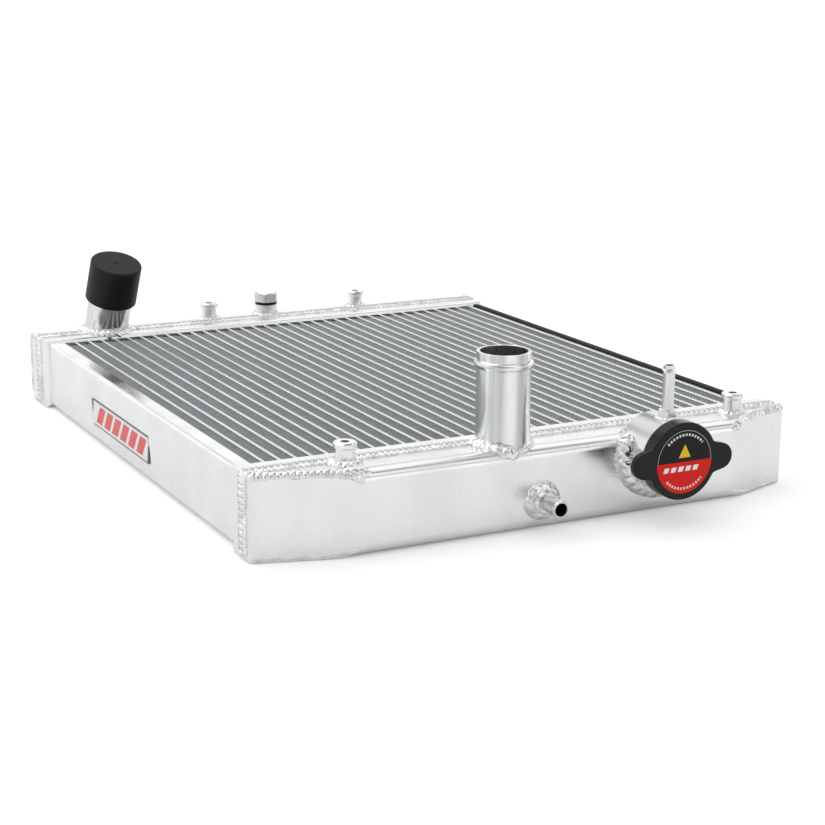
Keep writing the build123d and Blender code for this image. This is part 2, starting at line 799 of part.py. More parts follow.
pieces = {
    "core_tubes": core_tubes(),
    "core_fins": core_fins(),
    "core_side_plates": core_side_plates(),
    "side_channel_left": side_channel(-1),
    "side_channel_right": side_channel(1),
    "inlet_header": header(-1),
    "outlet_header": header(1),
    "inlet_tank": inlet_tank(),
    "outlet_tank": outlet_tank(),
    "outlet_tank_end_left": outlet_tank_end(-1),
    "outlet_tank_end_right": outlet_tank_end(1),
    "inlet_pipe": inlet_pipe(),
    "outlet_pipe": outlet_pipe(),
    "outlet_dust_cap": outlet_dust_cap(),
    "filler_neck": filler_neck(),
    "overflow_nipple": overflow_nipple(),
    "hose_nipple_bung": hose_nipple_bung(),
    "hose_nipple": hose_nipple(),
    "fan_mount_bosses": fan_mount_bosses(),
    "drain_bung": drain_bung(),
    "drain_washer": drain_washer(),
    "drain_plug": drain_plug(),
    "lower_mount_pins": lower_mount_pins(),
    "side_badge": side_badge(),
    "foam_strip": foam_strip(),
    "cap_shell": cap_shell(),
    "cap_label": cap_label(),
    "cap_rivet": cap_rivet(),
    "cap_diaphragm": cap_diaphragm(),
    "cap_spring_cage": cap_spring_cage(),
    "pressure_spring": pressure_spring(),
    "pressure_seal": pressure_seal(),
    "pressure_plate": pressure_plate(),
    "vacuum_valve": vacuum_valve(),
    "vacuum_spring": vacuum_spring(),
}

os.makedirs("parts", exist_ok=True)
for name, shape in pieces.items():
    export_step(to_origin * shape, f"parts/{name}.step")
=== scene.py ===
import bmesh
import bpy
import math
from mathutils import Matrix, Vector


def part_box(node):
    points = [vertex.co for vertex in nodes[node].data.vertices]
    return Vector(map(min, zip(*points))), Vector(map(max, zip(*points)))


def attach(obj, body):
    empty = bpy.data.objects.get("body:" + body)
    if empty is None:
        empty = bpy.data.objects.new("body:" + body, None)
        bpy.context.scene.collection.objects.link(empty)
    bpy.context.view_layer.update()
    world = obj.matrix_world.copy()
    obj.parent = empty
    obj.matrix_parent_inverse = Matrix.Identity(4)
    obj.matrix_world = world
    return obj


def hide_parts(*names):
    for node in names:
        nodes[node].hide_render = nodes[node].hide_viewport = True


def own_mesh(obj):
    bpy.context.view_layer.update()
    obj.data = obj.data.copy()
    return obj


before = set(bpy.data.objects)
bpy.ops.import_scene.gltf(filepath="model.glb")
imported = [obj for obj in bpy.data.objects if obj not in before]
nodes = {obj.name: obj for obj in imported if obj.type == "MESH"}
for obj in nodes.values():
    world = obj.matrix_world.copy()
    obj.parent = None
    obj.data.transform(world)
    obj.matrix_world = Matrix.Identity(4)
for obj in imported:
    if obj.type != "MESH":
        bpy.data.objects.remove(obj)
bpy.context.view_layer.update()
MM = 0.001


# ---------------------------------------------------------------- camera
# A long lens a little over a metre away, level with the near corner and looking down on the core.
azimuth, elevation, roll = math.radians(-27.42), math.radians(14.34), math.radians(0.46)
eye = Vector((-541.3, -1082.4, 329.9)) * MM
lens = 79.6

back = Vector((math.sin(azimuth) * math.cos(elevation), -math.cos(azimuth) * math.cos(elevation),
               math.sin(elevation)))
level = Vector((math.cos(azimuth), math.sin(azimuth), 0))
upright = back.cross(level)
right = level * math.cos(roll) + upright * math.sin(roll)
up = upright * math.cos(roll) - level * math.sin(roll)

camera = bpy.data.objects.new("camera", bpy.data.cameras.new("camera"))
camera.data.lens = lens
camera.data.sensor_width = 36
camera.data.clip_start, camera.data.clip_end = 0.05, 200
camera.matrix_world = Matrix.Translation(eye) @ Matrix((right, up, back)).transposed().to_4x4()
bpy.context.scene.collection.objects.link(camera)
bpy.context.scene.camera = camera
bpy.context.scene.view_settings.view_transform = "Standard"


# ---------------------------------------------------------------- studio
# A bright dome with two narrow dark gaps, one overhead and one above the backdrop, and a greyer patch
# behind the camera. One softbox and a pale floor complete it.
def add(tree, kind, inputs=None, **settings):
    """Adds a node, sets it up, and feeds its sockets from values or from other nodes' sockets."""
    made = tree.nodes.new(kind)
    for name, value in settings.items():
        setattr(made, name, value)
    for key, value in (inputs or {}).items():
        socket = made.inputs[key]
        if isinstance(value, bpy.types.NodeSocket):
            tree.links.new(value, socket)
        else:
            socket.default_value = value
    return made


def ramp(tree, factor, stops, interpolation="LINEAR"):
    """Colour ramp through grey stops of (place, brightness)."""
    made = add(tree, "ShaderNodeValToRGB", {"Fac": factor})
    made.color_ramp.interpolation = interpolation
    elements = made.color_ramp.elements
    while len(elements) < len(stops):
        elements.new(1.0)
    for element, (place, grey) in zip(elements, stops):
        element.position = place
        element.color = (grey, grey, grey, 1)
    return made.outputs["Color"]


def math_node(tree, operation, *values, **settings):
    return add(tree, "ShaderNodeMath", dict(enumerate(values)), operation=operation, **settings).outputs[0]


def times(tree, value, *others):
    for other in others:
        value = math_node(tree, "MULTIPLY", value, other)
    return value


def plus(tree, a, b):
    return math_node(tree, "ADD", a, b)


def minus(tree, a, b):
    return math_node(tree, "SUBTRACT", a, b)


def over(tree, a, b):
    return math_node(tree, "DIVIDE", a, b)


def vector_node(tree, operation, *values):
    made = add(tree, "ShaderNodeVectorMath", dict(enumerate(values)), operation=operation)
    return made.outputs["Value" if operation == "DOT_PRODUCT" else "Vector"]


def axes(tree, vector):
    return add(tree, "ShaderNodeSeparateXYZ", {0: vector}).outputs


def mixed(tree, below, factor, above, blend="MIX"):
    """Colour that goes from one below to one above as the factor goes from 0 to 1."""
    made = add(tree, "ShaderNodeMix", {"Factor": factor, "A": below, "B": above}, data_type="RGBA",
               blend_type=blend)
    return made.outputs["Result"]


dome = bpy.data.worlds.new("studio")
bpy.context.scene.world = dome
dome.use_nodes = True
sky = dome.node_tree
sky.nodes.clear()
direction = add(sky, "ShaderNodeTexCoord").outputs["Generated"]
toward = axes(sky, direction)
behind = vector_node(sky, "DOT_PRODUCT", direction, (back.x, back.y, 0.0))
facing = ramp(sky, behind, [(0.0, 1.0), (0.60, 1.0), (0.88, 0.50), (1.0, 0.42)], "EASE")
gap_side = math_node(sky, "ABSOLUTE", plus(sky, toward["Y"], 0.27))
gap = ramp(sky, gap_side, [(0.0, 0.10), (0.07, 0.16), (0.19, 1.0)], "EASE")
overhead = ramp(sky, toward["Z"], [(0.0, 0.0), (0.55, 0.0), (0.70, 1.0)], "EASE")
backdrop_top = ramp(sky, toward["Z"], [(0.0, 1.0), (0.40, 1.0), (0.46, 0.25), (0.54, 0.25), (0.60, 1.0)],
                    "EASE")
dimmed = mixed(sky, mixed(sky, facing, overhead, gap, "MULTIPLY"), 1.0, backdrop_top, "MULTIPLY")
background = add(sky, "ShaderNodeBackground", {"Color": dimmed, "Strength": 1.1})
add(sky, "ShaderNodeOutputWorld", {"Surface": background.outputs[0]})

softbox_place = Vector((-0.9, 0.5, 1.7))
softbox = bpy.data.objects.new("softbox", bpy.data.lights.new("softbox", "AREA"))
softbox.data.shape = "RECTANGLE"
softbox.data.size, softbox.data.size_y = 2.4, 2.0
softbox.data.energy = 9
softbox_turn = softbox_place.to_track_quat("Z", "Y").to_matrix().to_4x4()
softbox.matrix_world = Matrix.Translation(softbox_place) @ softbox_turn
bpy.context.scene.collection.objects.link(softbox)

floor_reach, floor_level = 40, -0.6 * MM
floor_mesh = bpy.data.meshes.new("floor")
corners = ((-1, -1), (1, -1), (1, 1), (-1, 1))
floor_corners = [(x * floor_reach, y * floor_reach, floor_level) for x, y in corners]
floor_mesh.from_pydata(floor_corners, [], [(0, 1, 2, 3)])
floor = bpy.data.objects.new("floor", floor_mesh)
bpy.context.scene.collection.objects.link(floor)
floor_paint = bpy.data.materials.new("floor_paint")
floor_paint.use_nodes = True
tree = floor_paint.node_tree
tree.nodes.clear()
matt = add(tree, "ShaderNodeBsdfDiffuse", {"Color": (0.90, 0.90, 0.90, 1)})
lift = times(tree, add(tree, "ShaderNodeLightPath").outputs["Is Camera Ray"], 0.28)
glow = add(tree, "ShaderNodeEmission", {"Strength": lift})
both = add(tree, "ShaderNodeAddShader", {0: matt.outputs[0], 1: glow.outputs[0]})
add(tree, "ShaderNodeOutputMaterial", {"Surface": both.outputs[0]})
floor_mesh.materials.append(floor_paint)


# ---------------------------------------------------------------- sheet metal of the tanks
# Mill-finish aluminium sheet, lightly brushed along its length and wiped after welding. Cloudy patches and
# fine grain come from one group that every aluminium piece shares.
def shader_group(name, inputs, outputs):
    group = bpy.data.node_groups.new(name, "ShaderNodeTree")
    for label, kind, value in inputs:
        socket = group.interface.new_socket(label, in_out="INPUT", socket_type=kind)
        socket.default_value = value
    for label, kind in outputs:
        group.interface.new_socket(label, in_out="OUTPUT", socket_type=kind)
    return group, group.nodes.new("NodeGroupInput").outputs, group.nodes.new("NodeGroupOutput").inputs


def object_place(tree):
    return add(tree, "ShaderNodeTexCoord").outputs["Object"]


def noise(tree, place, scale, detail, **more):
    made = add(tree, "ShaderNodeTexNoise", {"Vector": place, "Scale": scale, "Detail": detail, **more})
    return made.outputs["Fac"]


surface, given, result = shader_group("metal_surface",
                                      [("Grain Direction", "NodeSocketVector", (1, 1, 1)),
                                       ("Grain Scale", "NodeSocketFloat", 900.0),
                                       ("Cloud Direction", "NodeSocketVector", (1, 1, 1)),
                                       ("Cloud Scale", "NodeSocketFloat", 28.0),
                                       ("Bright", "NodeSocketColor", (0.95, 0.955, 0.96, 1)),
                                       ("Dull", "NodeSocketColor", (0.87, 0.88, 0.89, 1)),
                                       ("Smooth", "NodeSocketFloat", 0.20),
                                       ("Rough", "NodeSocketFloat", 0.34),
                                       ("Relief", "NodeSocketFloat", 0.05)],
                                      [("Color", "NodeSocketColor"), ("Roughness", "NodeSocketFloat"),
                                       ("Normal", "NodeSocketVector")])
place = object_place(surface)
stretched = vector_node(surface, "MULTIPLY", place, given["Grain Direction"])
grain = noise(surface, stretched, given["Grain Scale"], 3.0, Roughness=0.6, Distortion=1.2)
drawn_out = vector_node(surface, "MULTIPLY", place, given["Cloud Direction"])
cloud = noise(surface, drawn_out, given["Cloud Scale"], 3.0, Roughness=0.5)
patches = ramp(surface, cloud, [(0.28, 0.0), (0.74, 1.0)], "EASE")
grain_share = math_node(surface, "MULTIPLY_ADD", grain, 0.45, -0.22)
tone = math_node(surface, "ADD", patches, grain_share, use_clamp=True)
colour = mixed(surface, given["Dull"], tone, given["Bright"])
sheen = add(surface, "ShaderNodeMix", {"Factor": tone, "A": given["Rough"], "B": given["Smooth"]})
relief = add(surface, "ShaderNodeBump", {"Strength": given["Relief"], "Distance": 0.0002, "Height": grain})
surface.links.new(colour, result["Color"])
surface.links.new(sheen.outputs["Result"], result["Roughness"])
surface.links.new(relief.outputs["Normal"], result["Normal"])


def material(name):
    """Empty node material with its shader and output in place."""
    made = bpy.data.materials.new(name)
    made.use_nodes = True
    made.node_tree.nodes.clear()
    shader = add(made.node_tree, "ShaderNodeBsdfPrincipled")
    add(made.node_tree, "ShaderNodeOutputMaterial", {"Surface": shader.outputs[0]})
    return made, made.node_tree, shader


def feed(tree, shader, **sockets):
    """Links sockets to the shader's inputs, named with an underscore for each space."""
    for label, socket in sockets.items():
        tree.links.new(socket, shader.inputs[label.replace("_", " ")])


def aluminium(name, direction, **values):
    """Aluminium whose grain runs along the direction with the smallest share."""
    made, tree, shader = material(name)
    finish = add(tree, "ShaderNodeGroup", node_tree=surface)
    finish.inputs["Grain Direction"].default_value = direction
    for label, value in values.items():
        finish.inputs[label.replace("_", " ")].default_value = value
    feed(tree, shader, Base_Color=finish.outputs["Color"], Roughness=finish.outputs["Roughness"],
         Normal=finish.outputs["Normal"])
    shader.inputs["Metallic"].default_value = 1.0
    return made


def coat(made, *names):
    """Gives CAD nodes a material in every slot."""
    for name in names:
        mesh = nodes[name].data
        mesh.materials.clear()
        mesh.materials.append(made)


# ---------------------------------------------------------------- weld beads
# Hand-laid TIG beads, each a row of overlapping puddles that the welder left while stepping along the seam.
# One tree sweeps a bead along any seam. A seam is a line of points, each with its outward direction.
def geometry_tree(name, inputs):
    tree = bpy.data.node_groups.new(name, "GeometryNodeTree")
    for label, kind, value in [("Source", "NodeSocketGeometry", None), *inputs,
                               ("Material", "NodeSocketMaterial", None)]:
        socket = tree.interface.new_socket(label, in_out="INPUT", socket_type=kind)
        if value is not None:
            socket.default_value = value
    tree.interface.new_socket("Mesh", in_out="OUTPUT", socket_type="NodeSocketGeometry")
    return tree, tree.nodes.new("NodeGroupInput").outputs


def scaled(tree, vector, factor):
    return add(tree, "ShaderNodeVectorMath", {0: vector, "Scale": factor}, operation="SCALE").outputs[0]


def position(tree):
    return add(tree, "GeometryNodeInputPosition").outputs[0]


def tangent(tree):
    return add(tree, "GeometryNodeInputTangent").outputs[0]


def curve_from(tree, mesh):
    return add(tree, "GeometryNodeMeshToCurve", {"Mesh": mesh}).outputs[0]


def moved(tree, geometry, **where):
    """Geometry with its points at a Position, or shifted by an Offset."""
    return add(tree, "GeometryNodeSetPosition", {"Geometry": geometry, **where}).outputs[0]


def swept_along(tree, curve, profile):
    """Mesh of a profile swept along a curve, with its ends closed."""
    return add(tree, "GeometryNodeCurveToMesh",
               {"Curve": curve, "Profile Curve": profile, "Fill Caps": True}).outputs[0]


def capture(tree, geometry, **fields):
    """Stores fields on a geometry, and gives it back with one output for each field."""
    made = tree.nodes.new("GeometryNodeCaptureAttribute")
    made.domain = "POINT"
    for label, socket in fields.items():
        made.capture_items.new("VECTOR" if socket.type == "VECTOR" else "FLOAT", label)
    tree.links.new(geometry, made.inputs["Geometry"])
    for label, socket in fields.items():
        tree.links.new(socket, made.inputs[label])
    return made.outputs


def finish_tree(tree, geometry, smooth=True):
    shaded = add(tree, "GeometryNodeSetShadeSmooth", {"Geometry": geometry, "Shade Smooth": smooth})
    real = add(tree, "GeometryNodeRealizeInstances", {"Geometry": shaded.outputs[0]})
    given = next(n for n in tree.nodes if n.type == "GROUP_INPUT").outputs
    painted = add(tree, "GeometryNodeSetMaterial",
                  {"Geometry": real.outputs[0], "Material": given["Material"]})
    add(tree, "NodeGroupOutput", {"Mesh": painted.outputs[0]})


tree, given = geometry_tree("weld_bead",
                            [("Width", "NodeSocketFloat", 0.009), ("Height", "NodeSocketFloat", 0.0012),
                             ("Root", "NodeSocketFloat", 0.001), ("Puddles", "NodeSocketInt", 20),
                             ("Groove", "NodeSocketFloat", 0.5), ("Lean", "NodeSocketFloat", 0.8),
                             ("Unevenness", "NodeSocketFloat", 0.15), ("End Taper", "NodeSocketFloat", 0.003),
                             ("Seed", "NodeSocketInt", 1)])
samples_per_puddle, section_points = 12, 16
samples = times(tree, given["Puddles"], samples_per_puddle)
line = curve_from(tree, given["Source"])
line = add(tree, "GeometryNodeResampleCurve", {"Curve": line, "Count": samples}).outputs[0]
outward = add(tree, "GeometryNodeInputNamedAttribute", {"Name": "out"}, data_type="FLOAT_VECTOR")
along = add(tree, "GeometryNodeSplineParameter").outputs
seam = capture(tree, line, middle=position(tree),
               out=outward.outputs["Attribute"], tangent=tangent(tree),
               share=along["Factor"], run=along["Length"],
               whole=add(tree, "GeometryNodeSplineLength").outputs["Length"])
ring = add(tree, "GeometryNodeCurvePrimitiveCircle", {"Resolution": section_points, "Radius": 1.0})
ring = capture(tree, ring.outputs["Curve"], turn=add(tree, "GeometryNodeSplineParameter").outputs["Factor"])
swept = swept_along(tree, seam["Geometry"], ring["Geometry"])
angle = times(tree, ring["turn"], 2 * math.pi)
across, rise = math_node(tree, "COSINE", angle), math_node(tree, "SINE", angle)
bow = times(tree, times(tree, across, across), given["Lean"])
wander = add(tree, "ShaderNodeTexNoise",
             {"W": times(tree, seam["share"], given["Puddles"]), "Scale": 0.7, "Detail": 1.0},
             noise_dimensions="1D").outputs["Fac"]
steps = times(tree, seam["share"], given["Puddles"])
steps = minus(tree, steps, bow)
puddle = add(tree, "FunctionNodeRandomValue",
             {"Min": 0.0, "Max": 1.0, "ID": math_node(tree, "FLOOR", steps), "Seed": given["Seed"]},
             data_type="FLOAT")
luck = next(o for o in puddle.outputs if o.type == "VALUE" and o.enabled)
inside = math_node(tree, "SINE", times(tree, math_node(tree, "FRACT", steps), math.pi))
dome_shape = math_node(tree, "POWER", math_node(tree, "MAXIMUM", inside, 0.0), 0.55)
sunk = times(tree, minus(tree, 1.0, dome_shape), given["Groove"])
odd = times(tree, minus(tree, luck, 0.5), given["Unevenness"])
drift = times(tree, minus(tree, wander, 0.5), given["Unevenness"])
size = plus(tree, plus(tree, 1.0, odd), drift)
from_end = math_node(tree, "MINIMUM", seam["run"], minus(tree, seam["whole"], seam["run"]))
tip = over(tree, plus(tree, from_end, 0.0002), math_node(tree, "MAXIMUM", given["End Taper"], 0.0001))
tip = math_node(tree, "POWER", math_node(tree, "MINIMUM", tip, 1.0), 0.5)
half = times(tree, times(tree, given["Width"], 0.5), size)
half = times(tree, half, minus(tree, 1.0, times(tree, sunk, 0.22)))
crown = times(tree, times(tree, given["Height"], size), minus(tree, 1.0, sunk))
above = times(tree, math_node(tree, "MAXIMUM", rise, 0.0), crown)
below = times(tree, math_node(tree, "MINIMUM", rise, 0.0), given["Root"])
sideways = vector_node(tree, "NORMALIZE", vector_node(tree, "CROSS_PRODUCT", seam["tangent"], seam["out"]))
offset = vector_node(tree, "ADD", scaled(tree, sideways, times(tree, across, half)),
                     scaled(tree, seam["out"], plus(tree, above, below)))
finish_tree(tree,
            moved(tree, swept, Position=vector_node(tree, "ADD", seam["middle"], scaled(tree, offset, tip))))
bead_tree = tree


def plain_mesh(name, source, tree, inputs):
    """Runs a tree on a source mesh and keeps the result as a plain mesh."""
    carrier = bpy.data.objects.new(name + "_carrier", source)
    bpy.context.scene.collection.objects.link(carrier)
    modifier = carrier.modifiers.new("tree", "NODES")
    modifier.node_group = tree
    sockets = {item.name: item.identifier for item in tree.interface.items_tree if item.in_out == "INPUT"}
    for label, value in inputs.items():
        modifier[sockets[label]] = value
    graph = bpy.context.evaluated_depsgraph_get()
    mesh = bpy.data.meshes.new_from_object(carrier.evaluated_get(graph), depsgraph=graph)
    carrier.modifiers.remove(modifier)
    bpy.data.objects.remove(carrier)
    return mesh


def outward_faces(mesh):
    work = bmesh.new()
    work.from_mesh(mesh)
    bmesh.ops.remove_doubles(work, verts=work.verts, dist=1e-7)
    bmesh.ops.recalc_face_normals(work, faces=work.faces)
    work.to_mesh(mesh)
    work.free()


def piece(name, mesh, body="radiator", stands_for=()):
    """Puts a finished mesh in the scene, riding on its body."""
    made = bpy.data.objects.new(name, mesh)
    bpy.context.scene.collection.objects.link(made)
    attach(made, body)
    if stands_for:
        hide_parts(*stands_for)
    return made


def weld(name, *beads, record_slot="turned_aluminium"):
    """Puts the beads of one weld in the scene as one piece."""
    work = bmesh.new()
    for mesh in beads:
        work.from_mesh(mesh)
    whole = bpy.data.meshes.new("weld_" + name)
    work.to_mesh(whole)
    work.free()
    whole.materials.append(weld_metal)
    piece("weld_" + name, whole)


def seam_line(points, closed=False):
    """Mesh line through (place, outward) pairs."""
    mesh = bpy.data.meshes.new("seam")
    count = len(points)
    edges = [(i, (i + 1) % count) for i in range(count if closed else count - 1)]
    mesh.from_pydata([place for place, _ in points], edges, [])
    outward = mesh.attributes.new("out", "FLOAT_VECTOR", "POINT")
    outward.data.foreach_set("vector", [c for _, out in points for c in Vector(out).normalized()])
    return mesh


weld_metal = aluminium("weld_metal", (1, 1, 1), Grain_Scale=1600.0, Cloud_Scale=120.0, Smooth=0.16,
                       Rough=0.28, Bright=(0.96, 0.96, 0.96, 1), Dull=(0.70, 0.71, 0.72, 1), Relief=0.05)


def bead(points, closed=False, width=9.0, height=1.2, root=1.0, pitch=3.5, groove=0.5, lean=0.8,
         unevenness=0.15, taper=3.0, seed=1):
    """Mesh of one bead along a seam. Sizes are in millimetres."""
    run = sum((Vector(a[0]) - Vector(b[0])).length for a, b in zip(points, points[1:]))
    if closed:
        run += (Vector(points[0][0]) - Vector(points[-1][0])).length
    mesh = plain_mesh("bead", seam_line(points, closed), bead_tree,
                      {"Width": width * MM, "Height": height * MM, "Root": root * MM,
                       "Puddles": max(3, round(run / (pitch * MM))), "Groove": groove, "Lean": lean,
                       "Unevenness": unevenness, "End Taper": 0.0 if closed else taper * MM, "Seed": seed,
                       "Material": weld_metal})
    outward_faces(mesh)
    return mesh


def between(start, end, steps, out_start, out_end=None):
    """Straight stretch of a seam."""
    out_end = out_end or out_start
    return [(Vector(start).lerp(Vector(end), i / steps),
             Vector(out_start).lerp(Vector(out_end), i / steps)) for i in range(steps + 1)]


# ---------------------------------------------------------------- core tubes and side plates
# Flat extruded tubes with rounded noses, bright where the brazing flux was washed off.
# Along each tube's side, below its nose, half of every fin fold is painted dark: painted shade in the
# gaps beside the brazed fin crests.
tube_metal = aluminium("tube_metal", (1, 0.1, 1), Bright=(0.95, 0.95, 0.955, 1), Dull=(0.86, 0.87, 0.88, 1),
                       Smooth=0.24, Rough=0.38)
coat(tube_metal, "core_side_plates")
fins_low, fins_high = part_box("core_fins")
tubes_low, tubes_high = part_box("core_tubes")
fold_count = 104
fold_length = (fins_high.y - fins_low.y) / fold_count
nose_depth = 0.45 * MM
gap_shaded_tube_paint = aluminium("tubes_with_painted_gap_shade", (1, 0.1, 1), Smooth=0.24, Rough=0.38)
tree = gap_shaded_tube_paint.node_tree
shader = next(n for n in tree.nodes if n.type == "BSDF_PRINCIPLED")
finish = next(n for n in tree.nodes if n.type == "GROUP")
spot = axes(tree, object_place(tree))
folds = math_node(tree, "FRACT", over(tree, plus(tree, spot["Y"], 1.0), fold_length))
# Painted shade: dark on half of every fin fold along the tube sides, below the rounded nose.
fin_gap_shade = times(tree, math_node(tree, "LESS_THAN", folds, 0.5),
              math_node(tree, "LESS_THAN", spot["Z"], tubes_high.z - nose_depth))
feed(tree, shader, Base_Color=mixed(tree, finish.outputs["Color"], fin_gap_shade, (0.22, 0.23, 0.24, 1)))
coat(gap_shaded_tube_paint, "core_tubes")


# ---------------------------------------------------------------- fin strips
# Thin foil folded back and forth between the tubes, brazed to them at every crest, with louvres cut across
# it. Handling has bent a fold here and there.
tree, given = geometry_tree("folded_fins",
                            [("Length", "NodeSocketFloat", 0.348), ("Gap", "NodeSocketFloat", 0.008),
                             ("Depth", "NodeSocketFloat", 0.042), ("Foil", "NodeSocketFloat", 0.00012),
                             ("Folds", "NodeSocketInt", fold_count), ("Bend", "NodeSocketFloat", 0.0004),
                             ("Seed", "NodeSocketInt", 3)])
points_per_fold = 8
fin_points = plus(tree, times(tree, given["Folds"], points_per_fold), 1)
index = add(tree, "GeometryNodeInputIndex").outputs[0]
run = over(tree, index, minus(tree, fin_points, 1))
wave = math_node(tree, "SINE", times(tree, index, 2 * math.pi / points_per_fold))
wave = add(tree, "ShaderNodeClamp", {"Value": times(tree, wave, 1.3), "Min": -1.0, "Max": 1.0})
fin_x = times(tree, wave.outputs[0], times(tree, given["Gap"], 0.5))
fin_y = times(tree, minus(tree, run, 0.5), given["Length"])
folded = moved(tree, add(tree, "GeometryNodeMeshLine", {"Count": fin_points}).outputs[0],
               Position=add(tree, "ShaderNodeCombineXYZ", {"X": fin_x, "Y": fin_y}).outputs[0])
fold_line = curve_from(tree, folded)
fold_line = capture(tree, fold_line, middle=position(tree),
                    tangent=tangent(tree))
foil_edge = add(tree, "GeometryNodeCurvePrimitiveQuadrilateral", {"Width": 1.0, "Height": 1.0}).outputs[0]
foil_edge = capture(tree, foil_edge, corner=position(tree))
ribbon = swept_along(tree, fold_line["Geometry"], foil_edge["Geometry"])
corner = add(tree, "ShaderNodeSeparateXYZ", {0: foil_edge["corner"]}).outputs
side_on = vector_node(tree, "NORMALIZE", vector_node(tree, "CROSS_PRODUCT", fold_line["tangent"], (0, 0, 1)))
thick = scaled(tree, side_on, times(tree, corner["X"], given["Foil"]))
deep = add(tree, "ShaderNodeCombineXYZ", {"Z": times(tree, corner["Y"], given["Depth"])})
foil = moved(tree, ribbon, Position=vector_node(tree, "ADD", fold_line["middle"],
                                                vector_node(tree, "ADD", thick, deep.outputs[0])))
placed = add(tree, "GeometryNodeInstanceOnPoints",
             {"Points": add(tree, "GeometryNodeMeshToPoints", {"Mesh": given["Source"]}).outputs[0],
              "Instance": foil})
strips = add(tree, "GeometryNodeRealizeInstances", {"Geometry": placed.outputs[0]})
bent = add(tree, "ShaderNodeTexNoise",
           {"Vector": position(tree), "W": given["Seed"], "Scale": 75.0,
            "Detail": 2.0}, noise_dimensions="4D")
push = math_node(tree, "POWER", times(tree, bent.outputs["Fac"], 1.25), 5)
shove = vector_node(tree, "SUBTRACT", bent.outputs["Color"], (0.5, 0.5, 0.5))
shove = vector_node(tree, "MULTIPLY", shove, (0.2, 1.0, 0.0))
shove = scaled(tree, shove, times(tree, given["Bend"], plus(tree, push, 0.35)))
finish_tree(tree, moved(tree, strips.outputs[0], Offset=shove), smooth=False)
fin_tree = tree

fin_foil, tree, shader = material("fin_foil")
spot = object_place(tree)
per_fold = vector_node(tree, "MULTIPLY", spot, (40.0, 420.0, 40.0))
haze = noise(tree, per_fold, 1.0, 3.0, Roughness=0.7)
tint = mixed(tree, (0.36, 0.38, 0.39, 1), haze, (0.66, 0.68, 0.69, 1))
louvres = add(tree, "ShaderNodeTexWave", {"Vector": spot, "Scale": 120.0, "Distortion": 0.0},
              bands_direction="Z", wave_profile="TRI")
slats = add(tree, "ShaderNodeBump", {"Strength": 0.6, "Distance": 0.0004, "Height": louvres.outputs["Fac"]})
feed(tree, shader, Base_Color=tint, Normal=slats.outputs[0])
shader.inputs["Metallic"].default_value = 1.0
shader.inputs["Roughness"].default_value = 0.5

tube_count = 33
tube_pitch = (tubes_high.x - tubes_low.x - 2 * MM) / (tube_count - 1)
strip_places = [((tubes_low.x + tubes_high.x) / 2 + (i - tube_count / 2) * tube_pitch,
                 (fins_low.y + fins_high.y) / 2,
                 (fins_low.z + fins_high.z) / 2) for i in range(tube_count + 1)]
half_count = len(strip_places) // 2
halves = {"core_fins_left": strip_places[:half_count], "core_fins_right": strip_places[half_count:]}
for part, (label, places) in enumerate(halves.items()):
    source = bpy.data.meshes.new("strip_places")
    source.from_pydata(places, [], [])
    mesh = plain_mesh(label, source, fin_tree,
                      {"Length": fins_high.y - fins_low.y, "Depth": fins_high.z - fins_low.z,
                       "Gap": tube_pitch - 2 * MM, "Seed": 3 + part, "Material": fin_foil})
    outward_faces(mesh)
    piece(label, mesh, stands_for=("core_fins",))


# ---------------------------------------------------------------- tanks and headers
# Pressed headers and bent tank sheet, all of mill-finish aluminium. They are welded along every seam that
# shows, with the widest beads where the tanks meet the headers.
tank_sheet = aluminium("tank_sheet", (0.04, 1, 1), Cloud_Direction=(1, 1, 0.45), Cloud_Scale=24.0)
coat(tank_sheet, "inlet_tank", "outlet_tank", "outlet_tank_end_left", "outlet_tank_end_right", "inlet_header",
     "outlet_header")


def seam_round(y, half, top, corner=2.0 * MM, tilt=0.0):
    """Seam up one end, across the top and down the other end, turning outwards round each corner."""
    diagonal = Vector((1, 0, 1))
    points = between((-half, y, 0.001), (-half, y, top - corner), 20, (-1, tilt, 0))
    points += [(Vector((-half + corner * 0.3, y, top - corner * 0.3)),
                Vector((-diagonal.x, tilt, diagonal.z)))]
    points += between((-half + corner, y, top), (half - corner, y, top), 60, (0, tilt, 1))
    points += [(Vector((half - corner * 0.3, y, top - corner * 0.3)), Vector((diagonal.x, tilt, diagonal.z)))]
    points += between((half, y, top - corner), (half, y, 0.001), 20, (1, tilt, 0))
    return points


header_weld_width, header_weld_height = 10.8, 1.9
for tank, side in (("inlet", -1), ("outlet", 1)):
    low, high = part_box(tank + "_header")
    weld_y = low.y if side < 0 else high.y
    half = high.x
    mesh = bead(seam_round(weld_y, half, high.z), width=header_weld_width, height=header_weld_height,
                pitch=3.8, groove=0.75, lean=1.3, unevenness=0.12, seed=5 + side)
    under = bead(between((-half + 0.004, weld_y, 0.0002), (half - 0.004, weld_y, 0.0002), 60, (0, 0, -1)),
                 width=7.0, height=0.6, pitch=3.4, groove=0.6, seed=9 + side)
    weld(tank + "_header", mesh, under, record_slot="brushed_sheet")

# Slanted ends of the inlet tank: their top and bottom edges are welded to the folded middle.
tank_low, tank_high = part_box("inlet_tank")
bend = 7 * MM
slant_depth, left_slant, right_slant = 17.9 * MM, 62 * MM, 52 * MM
end_y = tank_low.y + slant_depth
runs = ((tank_low.x, tank_low.x + left_slant), (tank_high.x, tank_high.x - right_slant))
slant_steps = 30


def bend_height(y):
    """Height of the inlet tank's outside above a place behind its front face."""
    into = min(bend, max(0.0, tank_low.y + bend - y))
    return tank_high.z - bend + math.sqrt(bend ** 2 - into ** 2)


